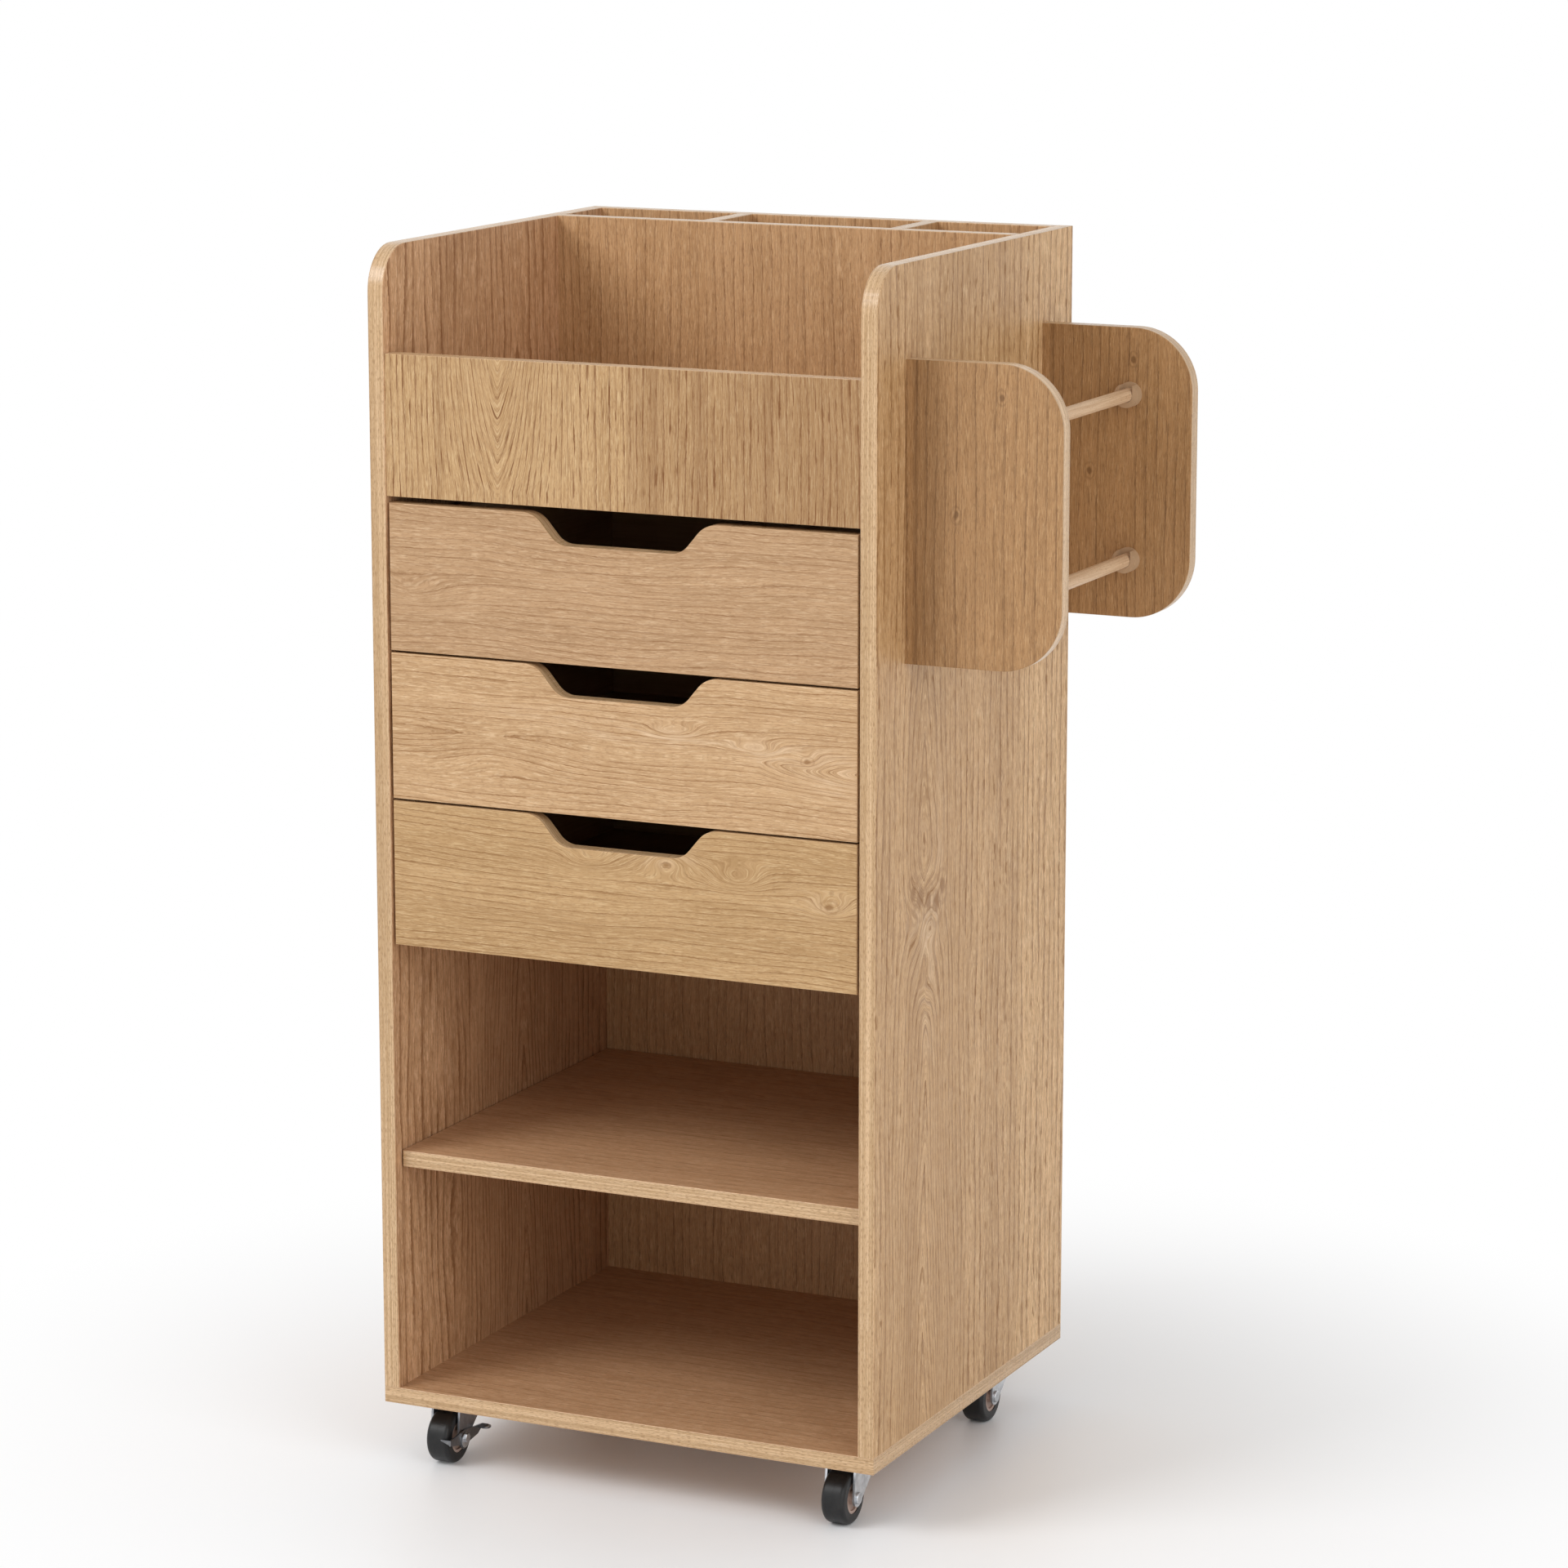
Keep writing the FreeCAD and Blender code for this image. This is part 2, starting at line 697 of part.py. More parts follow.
def caster_fork(axle):
    pivot = Vector(axle.x, axle.y + caster_trail, 0)
    inner_half = wheel_width / 2 + fork_side_clearance
    outer_half = inner_half + fork_wall
    crown_top = base_bottom - swivel_height
    crown_bottom = crown_top - fork_crown_thickness
    pieces = []
    for x in (axle.x - outer_half, axle.x + inner_half):
        leg = plate(leg_outline(x, axle), X_AXIS * fork_wall)
        end = rod(fork_end_radius, Vector(x, axle.y, axle.z), Vector(x + fork_wall, axle.y, axle.z))
        pieces.append(leg.fuse(end))
    crown = box(axle.x - outer_half, axle.x + outer_half, axle.y - fork_front_lead,
                pivot.y + fork_crown_radius, crown_bottom, crown_top)
    shape = crown.fuse(pieces).removeSplitter()
    hole = rod(kingpin_radius + kingpin_clearance, Vector(pivot.x, pivot.y, crown_bottom - overcut),
               Vector(pivot.x, pivot.y, crown_top + overcut))
    reach = X_AXIS * (outer_half + overcut)
    bore = rod(axle_radius + axle_clearance, axle - reach, axle + reach)
    return shape.cut([hole, bore])


def caster_axle(axle, braked):
    """A rivet through the fork; on a braked caster a collar for the lever, a washer and a nut."""
    outer_half = wheel_width / 2 + fork_side_clearance + fork_wall
    collar_length = lever_thickness + 2 * lever_clearance
    right_reach = outer_half
    if braked:
        right_reach += collar_length + lever_washer_thickness
    start = axle - X_AXIS * outer_half
    end = axle + X_AXIS * right_reach
    shape = rod(axle_radius, start, end)
    head = rod(axle_head_radius, start - X_AXIS * axle_head_height, start)
    head = soften(head, lambda b: on_plane(b.XMin, b.XMax, start.x - axle_head_height))
    if braked:
        turns = [2 * math.pi * i / lever_nut_sides for i in range(lever_nut_sides)]
        spokes = [Vector(0, math.cos(t), math.sin(t)) * lever_nut_radius for t in turns]
        corners = [end + spoke for spoke in spokes]
        nut = plate([(c, 0) for c in corners], X_AXIS * lever_nut_height)
        middle = axle + X_AXIS * outer_half - Z_AXIS * lever_eccentricity
        washer_face = middle + X_AXIS * collar_length
        collar = rod(lever_collar_radius, middle, washer_face)
        washer = rod(lever_washer_radius, washer_face, washer_face + X_AXIS * lever_washer_thickness)
        far = nut.fuse([collar, washer])
    else:
        far = rod(axle_head_radius, end, end + X_AXIS * axle_head_height)
        far = soften(far, lambda b: on_plane(b.XMin, b.XMax, end.x + axle_head_height))
    return shape.fuse([head, far]).removeSplitter()


def wheel_hub(axle):
    half = hub_width / 2
    body = rod(hub_radius, axle - X_AXIS * half, axle + X_AXIS * half)
    boss_half = wheel_width / 2 + fork_side_clearance - hub_end_clearance
    boss = rod(hub_boss_radius, axle - X_AXIS * boss_half, axle + X_AXIS * boss_half)
    cuts = []
    for side in (-1, 1):
        outward = X_AXIS * side
        face = axle + outward * half
        ring = rod(hub_recess_radius, face - outward * hub_recess_depth, face + outward * overcut)
        cuts.append(ring)
    shape = body.cut(cuts).fuse(boss).removeSplitter()
    reach = X_AXIS * (boss_half + overcut)
    return shape.cut(rod(axle_radius + axle_clearance, axle - reach, axle + reach))


def wheel_tyre(axle):
    half = wheel_width / 2
    body = rod(wheel_radius, axle - X_AXIS * half, axle + X_AXIS * half)
    body = soften(body, lambda b: near(b.XMin, b.XMax), wheel_shoulder_radius)
    reach = X_AXIS * (half + overcut)
    return body.cut(rod(hub_radius + hub_seat_clearance, axle - reach, axle + reach))


def brake_pedal(x0, axle):
    """The lever's tread pad, with ribs for the shoe and rounded outer corners."""
    y0 = axle.y + lever_pedal_reach - lever_pedal_length
    y1 = axle.y + lever_pedal_reach
    top = axle.z + lever_pedal_lift
    x1 = x0 + lever_thickness + lever_pedal_width
    z = top - lever_thickness
    outline = [
        (Vector(x0, y0, z), 0),
        (Vector(x1, y0, z), lever_pedal_corner_radius),
        (Vector(x1, y1, z), lever_pedal_corner_radius),
        (Vector(x0, y1, z), 0),
    ]
    pad = plate(outline, Z_AXIS * lever_thickness)
    pitch = lever_pedal_length / lever_pedal_rib_count
    rib = X_AXIS * (lever_pedal_width - lever_pedal_corner_radius)
    ribs = []
    for i in range(lever_pedal_rib_count):
        start = Vector(x0 + lever_thickness, y0 + pitch * (i + 0.5), top)
        ribs.append(rod(lever_pedal_rib_radius, start, start + rib))
    return pad.fuse(ribs).removeSplitter()


def brake_nose(x1, axle):
    """A pointed tab that reaches over the tread in front of the wheel."""
    y1 = axle.y - wheel_radius - lever_nose_gap
    y0 = y1 - lever_thickness
    tread_edge = axle.x + wheel_width / 2
    top = axle.z + lever_nose_lift + lever_thickness / 2
    tip_x = tread_edge - lever_nose_overlap
    outline = [
        (Vector(tip_x, y0, top - lever_nose_point), 0),
        (Vector(x1, y0, top - lever_arm_back_height), 0),
        (Vector(x1, y0, top), 0),
        (Vector(tip_x, y0, top), 0),
    ]
    return plate(outline, Y_AXIS * (y1 - y0))


def brake_lever(axle):
    """A flat lever: a nose bent over the tread in front, a pedal bent out behind.

    It turns on the collar, whose middle lies below the axle, so the nose nears the tread as the
    pedal goes down."""
    x0 = axle.x + wheel_width / 2 + fork_side_clearance + fork_wall + lever_clearance
    x1 = x0 + lever_thickness
    y, z = axle.y, axle.z
    nose_y = y - wheel_radius - lever_nose_gap - lever_thickness
    nose_top = z + lever_nose_lift + lever_thickness / 2
    pedal_y = y + lever_pedal_reach - lever_pedal_length
    pedal_top = z + lever_pedal_lift
    arm = [
        Vector(x0, nose_y, nose_top - lever_arm_back_height),
        Vector(x0, y, z - lever_arm_height),
        Vector(x0, pedal_y, pedal_top - lever_arm_height),
        Vector(x0, y + lever_pedal_reach, pedal_top - lever_thickness),
        Vector(x0, y + lever_pedal_reach, pedal_top),
        Vector(x0, y, z + lever_arm_height),
        Vector(x0, nose_y, nose_top),
    ]
    shape = plate([(point, 0) for point in arm], X_AXIS * lever_thickness)
    turn_z = z - lever_eccentricity
    boss = rod(lever_boss_radius, Vector(x0, y, turn_z), Vector(x1, y, turn_z))
    shape = shape.fuse([boss, brake_nose(x1, axle), brake_pedal(x0, axle)]).removeSplitter()
    hole_radius = lever_collar_radius + axle_clearance
    hole = rod(hole_radius, Vector(x0 - overcut, y, turn_z), Vector(x1 + overcut, y, turn_z))
    return shape.cut(hole)


def save_carcass():
    joinery = lay_out_joinery()
    pin_holes = [shelf_pin_hole(*place) for place in shelf_pin_places()]
    between = (inner_left, inner_right)
    panels = {
        "base_panel": base_panel(),
        "left_side_panel": side_panel(left),
        "right_side_panel": side_panel(inner_right),
        "back_panel": back_panel(),
        "tray_floor": box(*between, fronts_back, back_panel_y, tray_floor_bottom, tray_floor_top),
        "tray_front": tray_front(),
        "pen_box_front": pen_box_front(),
        "pen_box_floor": box(*between, pen_wall_back, back_panel_y, pen_floor_bottom, pen_floor_top),
        "bay_top_panel": box(*between, bay_top_y, back_panel_y, bay_top_bottom, bay_top_top),
        "rack_front_plate": rack_plate(rack_front_y),
        "rack_rear_plate": rack_plate(rack_rear_y),
    }
    for name, shape in panels.items():
        shape = cut_joints(shape, joinery)
        if name == "base_panel":
            shape = shape.cut(plate_screw_holes())
        if name.endswith("side_panel"):
            shape = shape.cut(pin_holes)
        save(name, shape)
    save("pen_divider_left", pen_divider(pen_divider_xs[0]))
    save("pen_divider_right", pen_divider(pen_divider_xs[1]))
    save("shelf", shelf())
    save("shelf_pins", group([shelf_pin(*place) for place in shelf_pin_places()]))
    save("cabinet_runners", cabinet_runners())
    save("cam_locks", group(joinery.locks))
    save("cam_bolts", group(joinery.bolts))
    save("carcass_screws", group(joinery.screws))


def save_drawers():
    for i in range(drawer_count):
        bottom = drawers_bottom + i * drawer_pitch
        name = ("lower", "middle", "upper")[i] if drawer_count == 3 else "number_%d" % (i + 1)
        prefix = name + "_drawer_"
        save(prefix + "front", drawer_front(bottom))
        save(prefix + "left_side", drawer_side(box_left, bottom))
        save(prefix + "right_side", drawer_side(box_right - drawer_side_thickness, bottom))
        save(prefix + "back", drawer_back(bottom))
        save(prefix + "bottom", drawer_bottom_space(bottom, 0))
        save(prefix + "runners", drawer_runners(bottom))


def save_rack():
    save("rod_cups", rod_cups())
    for name, z in rod_zs.items():
        save(name + "_ribbon_rod", ribbon_rod(z))


def save_casters():
    plates = []
    screws = []
    for name, (x, y) in caster_places.items():
        axle = Vector(x, y - caster_trail, wheel_radius)
        braked = name.endswith("left")
        plates.append(caster_plate(x, y))
        screws += [plate_screw(hx, hy) for hx, hy in plate_holes(x, y)]
        save(name + "_fork", caster_fork(axle))
        save(name + "_axle", caster_axle(axle, braked))
        save(name + "_hub", wheel_hub(axle))
        save(name + "_tyre", wheel_tyre(axle))
        if braked:
            save(name + "_brake_lever", brake_lever(axle))
    save("caster_plates", group(plates))
    save("caster_screws", group(screws))


save_carcass()
save_drawers()
save_rack()
save_casters()
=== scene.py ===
import math

import bpy
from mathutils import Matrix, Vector


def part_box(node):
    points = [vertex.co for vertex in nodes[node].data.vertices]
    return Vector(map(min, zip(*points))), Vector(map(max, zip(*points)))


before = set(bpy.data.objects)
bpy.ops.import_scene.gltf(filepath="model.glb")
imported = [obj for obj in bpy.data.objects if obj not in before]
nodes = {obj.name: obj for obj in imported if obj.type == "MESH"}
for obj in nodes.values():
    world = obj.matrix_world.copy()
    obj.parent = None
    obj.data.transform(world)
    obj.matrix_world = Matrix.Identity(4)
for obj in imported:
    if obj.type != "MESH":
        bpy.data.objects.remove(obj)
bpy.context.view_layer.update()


# Shader fields: a number that varies over a surface, with plain arithmetic on it

class Field:
    def __init__(self, graph, socket):
        self.graph = graph
        self.socket = socket

    def __add__(self, other):
        return self.graph.math("ADD", self, other)

    def __sub__(self, other):
        return self.graph.math("SUBTRACT", self, other)

    def __mul__(self, other):
        return self.graph.math("MULTIPLY", self, other)

    def __truediv__(self, other):
        return self.graph.math("DIVIDE", self, other)

    __radd__ = __add__
    __rmul__ = __mul__

    def __rsub__(self, other):
        return self.graph.math("SUBTRACT", other, self)

    def size(self):
        return self.graph.math("ABSOLUTE", self)

    def fraction(self):
        return self.graph.math("FRACT", self)

    def root(self):
        return self.graph.math("SQRT", self)

    def above(self, low, high):
        """0 below low, 1 above high and smooth between them."""
        made = self.graph.node("MapRange", interpolation_type="SMOOTHSTEP")
        self.graph.put(made.inputs["Value"], self)
        self.graph.put(made.inputs["From Min"], low)
        self.graph.put(made.inputs["From Max"], high)
        return Field(self.graph, made.outputs["Result"])

    def below(self, low, high):
        return 1.0 - self.above(low, high)


class Graph:
    """One node material, built step by step."""

    def __init__(self, name):
        self.material = bpy.data.materials.new(name)
        self.material.use_nodes = True
        self.tree = self.material.node_tree
        self.tree.nodes.clear()
        self.output = self.node("OutputMaterial")
        coords = self.node("TexCoord")
        self.place = self.axes(coords.outputs["Object"])
        self.facing = self.axes(coords.outputs["Normal"])

    def node(self, kind, **settings):
        made = self.tree.nodes.new("ShaderNode" + kind)
        for key, value in settings.items():
            setattr(made, key, value)
        return made

    def put(self, socket, value):
        if isinstance(value, Field):
            value = value.socket
        if isinstance(value, bpy.types.NodeSocket):
            self.tree.links.new(value, socket)
        else:
            socket.default_value = value

    def math(self, operation, *values):
        made = self.node("Math", operation=operation)
        for socket, value in zip(made.inputs, values):
            self.put(socket, value)
        return Field(self, made.outputs[0])

    def axes(self, vector):
        made = self.node("SeparateXYZ")
        self.put(made.inputs[0], vector)
        return {axis: Field(self, made.outputs[axis]) for axis in "XYZ"}

    def vector(self, x, y, z=0.0):
        made = self.node("CombineXYZ")
        for socket, value in zip(made.inputs, (x, y, z)):
            self.put(socket, value)
        return made.outputs[0]

    def noise(self, x, y, z=0.0, detail=2.0, roughness=0.5):
        """Noise whose features are about one unit of x, y and z across, around 0.5."""
        made = self.node("TexNoise")
        self.put(made.inputs["Vector"], self.vector(x, y, z))
        made.inputs["Scale"].default_value = 1.0
        made.inputs["Detail"].default_value = detail
        made.inputs["Roughness"].default_value = roughness
        return Field(self, made.outputs[0])

    def mix(self, factor, first, second):
        """A colour between first and second."""
        made = self.node("Mix", data_type="RGBA")
        made.clamp_factor = True
        self.put(made.inputs[0], factor)
        for socket, value in ((made.inputs[6], first), (made.inputs[7], second)):
            self.put(socket, (*value, 1.0) if isinstance(value, tuple) else value)
        return made.outputs[2]

    def surface(self, colour, roughness, height=None, bump=0.2, depth=0.0005, **plain):
        """The finished surface; plain holds values that are the same all over."""
        shader = self.node("BsdfPrincipled")
        self.put(shader.inputs["Base Color"], (*colour, 1.0) if isinstance(colour, tuple) else colour)
        self.put(shader.inputs["Roughness"], roughness)
        for key, value in plain.items():
            shader.inputs[key.replace("_", " ").title().replace("Ior", "IOR")].default_value = value
        if height is not None:
            relief = self.node("Bump")
            relief.inputs["Strength"].default_value = bump
            relief.inputs["Distance"].default_value = depth
            self.put(relief.inputs["Height"], height)
            self.put(shader.inputs["Normal"], relief.outputs[0])
        self.put(self.output.inputs["Surface"], shader.outputs[0])
        return self.material


# Oak laminate. Colours are linear: the light wood, the darker wood and the pores

UPPER_TONE = ((0.552, 0.340, 0.180), (0.365, 0.212, 0.098), (0.225, 0.096, 0.024))
MIDDLE_TONE = ((0.630, 0.400, 0.210), (0.425, 0.248, 0.112), (0.248, 0.106, 0.024))
LOWEST_TONE = ((0.566, 0.354, 0.166), (0.388, 0.224, 0.086), (0.230, 0.100, 0.020))
SIDE_TONE = ((0.735, 0.462, 0.232), (0.470, 0.275, 0.118), (0.250, 0.112, 0.030))
TRAY_TONE = ((0.582, 0.368, 0.176), (0.395, 0.222, 0.084), (0.185, 0.066, 0.010))
LEFT_TONE = ((0.740, 0.446, 0.244), (0.470, 0.260, 0.126), (0.250, 0.104, 0.034))
WALL_TONE = ((0.618, 0.364, 0.176), (0.430, 0.232, 0.092), (0.200, 0.082, 0.020))
RACK_TONE = ((0.460, 0.252, 0.106), (0.310, 0.160, 0.057), (0.140, 0.060, 0.016))
SHELF_TONE = ((0.580, 0.340, 0.185), (0.430, 0.235, 0.115), (0.255, 0.120, 0.045))
EDGE_TONE = ((0.690, 0.462, 0.262), (0.430, 0.262, 0.120), (0.245, 0.122, 0.042))

# The palest streaks lose colour as they gain light
PALER = (1.16, 1.28, 1.44)

# The edge band is smoother than the faces by this much roughness
RIM_GLOSS = 0.20


class Grain:
    """How a board's face is figured. Across is over the grain, along runs with it; in metres.

    heart: across, along, slope, half width; arches point back along the board from there on
    eyes: across, along, half width, half length, rise; the rings bend round each
    knots: across, along, radius
    bands: from, to, width of the change, strength; a darker stretch of the face
    glows: across, along, half width, half length, strength; a paler, silky patch"""

    def __init__(self, tone, widen=1.0, ring=0.0065, ring_strength=0.35, pore_strength=0.3,
                 pore_width=0.0011, pore_length=0.011, heart=None, sway=0.020, streaks=0.24,
                 line_from=0.76, eyes=(), knots=(), bands=(), glows=()):
        self.tone = tone
        self.line_from = line_from
        self.glows = glows
        self.streaks = streaks
        self.widen = widen
        self.ring = ring
        self.ring_strength = ring_strength
        self.pore_strength = pore_strength
        self.pore_width = pore_width
        self.pore_length = pore_length
        self.heart = heart
        self.sway = sway
        self.eyes = eyes
        self.knots = knots
        self.bands = bands


SWAY_WIDTH = 0.060
SWAY_LENGTH = 0.26
ARCH_TIP = 0.0015
FIBRE_WIDTH = 0.0011
FIBRE_LENGTH = 0.055
STREAK_WIDTH = 0.0006
STREAK_LENGTH = 0.014
PALE_WIDTH = 0.0007
PALE_LENGTH = 0.012
FLECK_WIDTH = 0.0008
FLECK_LENGTH = 0.0045
BAND_WIDTH = 0.030
BAND_LENGTH = 0.45


def bell(graph, first, second):
    """1 where both are zero, falling to nothing a little beyond one."""
    return graph.math("EXPONENT", (first * first + second * second) * -1.0)


def across_rings(graph, c, a, grain, seed):
    """How far a point lies across the growth rings, which bend round the heart and the eyes."""
    sway = (graph.noise(c / SWAY_WIDTH, a / SWAY_LENGTH, seed, 2.0) - 0.5) * grain.sway
    tremble = (graph.noise(c / 0.018, a / 0.080, seed + 5.0, 2.0) - 0.5) * (grain.sway * 0.08)
    place = c + sway + tremble
    if grain.heart:
        heart_c, heart_a, slope, half_width = grain.heart
        side = place - heart_c
        lift = graph.math("MAXIMUM", (a - heart_a + tremble * 6.0) * slope, 0.0)
        near = graph.math("EXPONENT", side * side * (-1.0 / half_width ** 2))
        place = (side * side + ARCH_TIP ** 2).root() - lift * near
    for eye_c, eye_a, half_width, half_length, rise in grain.eyes:
        dc = (c + sway * 0.4 + tremble * 2.0 - eye_c) / half_width
        da = (a + tremble * 8.0 - eye_a) / half_length
        place = place + bell(graph, dc, da) * rise
    return place


def face_colour(graph, c, a, grain, seed):
    """The printed face: soft bands, fibres, broken ring lines, pores and knots, plus the darker stretches
    the grain lists (print, and on the left side painted shade); and its relief.
    """
    place = across_rings(graph, c, a, grain, seed)
    shift = c * 30.0 + seed
    light, mid, dark = grain.tone
    fibre = graph.noise(place / (FIBRE_WIDTH * grain.widen), a / FIBRE_LENGTH, shift, 3.0, 0.6)
    band = graph.noise(place / (BAND_WIDTH * grain.widen), a / BAND_LENGTH, shift + 3.0, 2.0)
    colour = graph.mix(fibre.above(0.34, 0.66) * 0.50 + band.above(0.30, 0.70) * 0.28, light, mid)

    pale = graph.noise(place / (PALE_WIDTH * grain.widen), a / PALE_LENGTH, shift + 17.0, 2.0)
    paler = tuple(value * gain for value, gain in zip(light, PALER))
    colour = graph.mix(pale.above(0.50, 0.66) * 0.72, colour, paler)
    streak = graph.noise(place / (STREAK_WIDTH * grain.widen), a / STREAK_LENGTH, shift + 27.0, 3.0)
    colour = graph.mix(streak.above(0.50, 0.66) * grain.streaks, colour, dark)

    teeth = (graph.noise(c / 0.0022, a / 0.0050, seed + 11.0, 1.0) - 0.5) * 0.20
    rings = place / (grain.ring * grain.widen) + teeth
    ring = rings.fraction()
    line = ring.above(grain.line_from, 0.96) * ring.below(0.965, 1.0)
    drawn = graph.noise(rings * 0.9, a / 0.16, seed + 13.0, 1.0).above(0.34, 0.56)
    broken = graph.noise(c / 0.003, a / 0.014, seed + 19.0, 2.0).above(0.28, 0.60)
    ring_line = line * drawn * (broken * 0.55 + 0.45)
    colour = graph.mix(ring * drawn * 0.16 + ring_line * grain.ring_strength, colour, dark)

    grainy = graph.noise(place / (grain.pore_width * grain.widen), a / grain.pore_length, shift + 2.0, 1.0)
    zone = graph.noise(place / (0.004 * grain.widen), a / 0.055, shift + 9.0, 2.0).above(0.38, 0.62)
    pore = grainy.above(0.54, 0.63) * (zone * 0.30 + ring.above(0.45, 0.90) * 0.70)
    colour = graph.mix(pore * grain.pore_strength, colour, dark)
    fleck = graph.noise(place / (FLECK_WIDTH * grain.widen), a / FLECK_LENGTH, shift + 41.0, 1.0)
    colour = graph.mix(fleck.above(0.55, 0.66) * 0.26, colour, dark)

    for glow_c, glow_a, half_width, half_length, strength in grain.glows:
        shine = bell(graph, (c - glow_c) / half_width, (a - glow_a) / half_length)
        flame = graph.noise(place / 0.0045, a / 0.050, seed + 47.0, 2.0).above(0.42, 0.62)
        silk = flame * (fibre.below(0.30, 0.70) * 0.6 + 0.4)
        colour = graph.mix(shine * silk * strength, colour, (0.86, 0.64, 0.43))

    for low, high, soft, strength in grain.bands:
        inside = c.above(low - soft, low + soft) * c.below(high - soft, high + soft)
        colour = graph.mix(inside * (fibre * 0.8 + 0.6) * strength, colour, dark)
    for knot_c, knot_a, radius in grain.knots:
        rough = (graph.noise(c / 0.004, a / 0.006, seed + 23.0, 3.0) - 0.5) * 1.1
        dc = (c - knot_c) / radius
        da = (a - knot_a) / (radius * 1.5)
        reach = (dc * dc + da * da).root() + rough
        halo = (reach - 1.9).size().below(0.10, 0.40) * 0.5
        colour = graph.mix(reach.below(0.5, 1.25) * 0.70 + halo * 0.5, colour, dark)
    return colour, pore, fibre


def rim_colour(graph, t, run, middle, half, seed):
    """Edge band: long lines, short slanted dashes and a glue seam near each face."""
    light, mid, dark = EDGE_TONE
    stripe = graph.noise(t / 0.0021, run / 0.90, seed + 31.0, 2.0).above(0.36, 0.60)
    colour = graph.mix(stripe * 0.80, light, mid)
    hair = graph.noise(t / 0.0005, run / 0.030, seed + 43.0, 2.0).above(0.46, 0.68)
    colour = graph.mix(hair * 0.40, colour, tuple(value * gain for value, gain in zip(light, PALER)))
    slant = t / 0.0006 + run / 0.040
    dash = graph.noise(slant, run / 0.0050, seed + 37.0, 1.0).above(0.50, 0.66)
    colour = graph.mix(dash * 0.50, colour, dark)
    seam = ((t - middle).size() - (half - 0.0010)).size().below(0.0001, 0.0004)
    return graph.mix(seam * 0.35, colour, dark)


def oak(name, along, thick, grain, seed):
    """Laminated board: a figured face and, round its rim, edge band whose lines run lengthwise."""
    across = next(axis for axis in "XYZ" if axis not in (along, thick))
    graph = Graph("oak_" + name)
    low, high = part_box(name)
    a, c, t = graph.place[along], graph.place[across], graph.place[thick]
    face, pore, fibre = face_colour(graph, c, a, grain, seed)
    i = "XYZ".index(thick)
    rim = rim_colour(graph, t, a + c, (low[i] + high[i]) / 2, (high[i] - low[i]) / 2, seed)
    on_rim = graph.facing[thick].size().below(0.55, 0.75)
    colour = graph.mix(on_rim, face, rim)
    wear = graph.noise(a * 60.0, c * 60.0, t * 60.0 + seed, 3.0)
    roughness = 0.40 + pore * 0.18 + wear * 0.16 - on_rim * RIM_GLOSS
    return graph.surface(colour, roughness, fibre * 0.5 - pore, bump=0.25, depth=0.0003)


def plain_board(name, along, light, mid, seed):
    """Foil on drawer board or hardboard: a faint grain."""
    across, other = [axis for axis in "XYZ" if axis != along]
    graph = Graph("board_" + name)
    a, c, d = graph.place[along], graph.place[across], graph.place[other]
    fibre = graph.noise(c * 420.0 + d * 420.0, a * 9.0, seed, 4.0, 0.6)
    band = graph.noise(c * 25.0, d * 25.0, a * 1.5 + seed)
    colour = graph.mix(fibre.above(0.3, 0.7) * 0.7 + band * 0.3, light, mid)
    return graph.surface(colour, 0.48 + fibre * 0.12, fibre, bump=0.15, depth=0.0002)


def dowel(name, seed):
    """Turned beech: fine grain along the rod with short flecks."""
    graph = Graph("dowel_" + name)
    x, y, z = (graph.place[axis] for axis in "XYZ")
    fibre = graph.noise(x * 700.0, y * 14.0, z * 700.0 + seed, 3.0)
    fleck = graph.noise(x * 1300.0, y * 260.0, z * 1300.0 + seed, 1.0).above(0.60, 0.70)
    colour = graph.mix(fibre.above(0.3, 0.7), (0.68, 0.47, 0.29), (0.55, 0.35, 0.20))
    colour = graph.mix(fleck * 0.5, colour, (0.36, 0.20, 0.10))
    return graph.surface(colour, 0.42 + fibre * 0.15, fibre, bump=0.2, depth=0.0002)


def zinc(name, tint=(0.66, 0.68, 0.71), dull=0.24, seed=0.0):
    """Bright zinc plate: faint clouding, rolling lines and small scuffs."""
    graph = Graph("zinc_" + name)
    x, y, z = (graph.place[axis] for axis in "XYZ")
    cloud = graph.noise(x * 130.0, y * 130.0, z * 130.0 + seed, 4.0)
    line = graph.noise(x * 1800.0 + z * 1800.0, y * 60.0, seed, 2.0)
    scuff = graph.noise(x * 420.0, y * 420.0, z * 420.0 + seed, 2.0).above(0.62, 0.70)
    darker = tuple(v * 0.72 for v in tint)
    colour = graph.mix(cloud.above(0.35, 0.70), tint, darker)
    roughness = dull + cloud * 0.16 + line * 0.06 + scuff * 0.12
    return graph.surface(colour, roughness, line + scuff, bump=0.12, depth=0.0001, metallic=1.0)


def dark_steel(name):
    """The brake lever's dark coated steel, worn bright here and there."""
    graph = Graph("dark_steel_" + name)
    x, y, z = (graph.place[axis] for axis in "XYZ")
    cloud = graph.noise(x * 160.0, y * 160.0, z * 160.0, 4.0)
    brushed = graph.noise(x * 900.0, y * 160.0, z * 1500.0, 3.0)
    worn = graph.noise(x * 260.0, y * 200.0, z * 260.0, 4.0).above(0.56, 0.70)
    colour = graph.mix(cloud, (0.24, 0.245, 0.26), (0.13, 0.133, 0.14))
    colour = graph.mix(worn * 0.35, colour, (0.40, 0.41, 0.43))
    return graph.surface(colour, 0.24 + cloud * 0.16, brushed, bump=0.10, depth=0.0002, metallic=0.9)


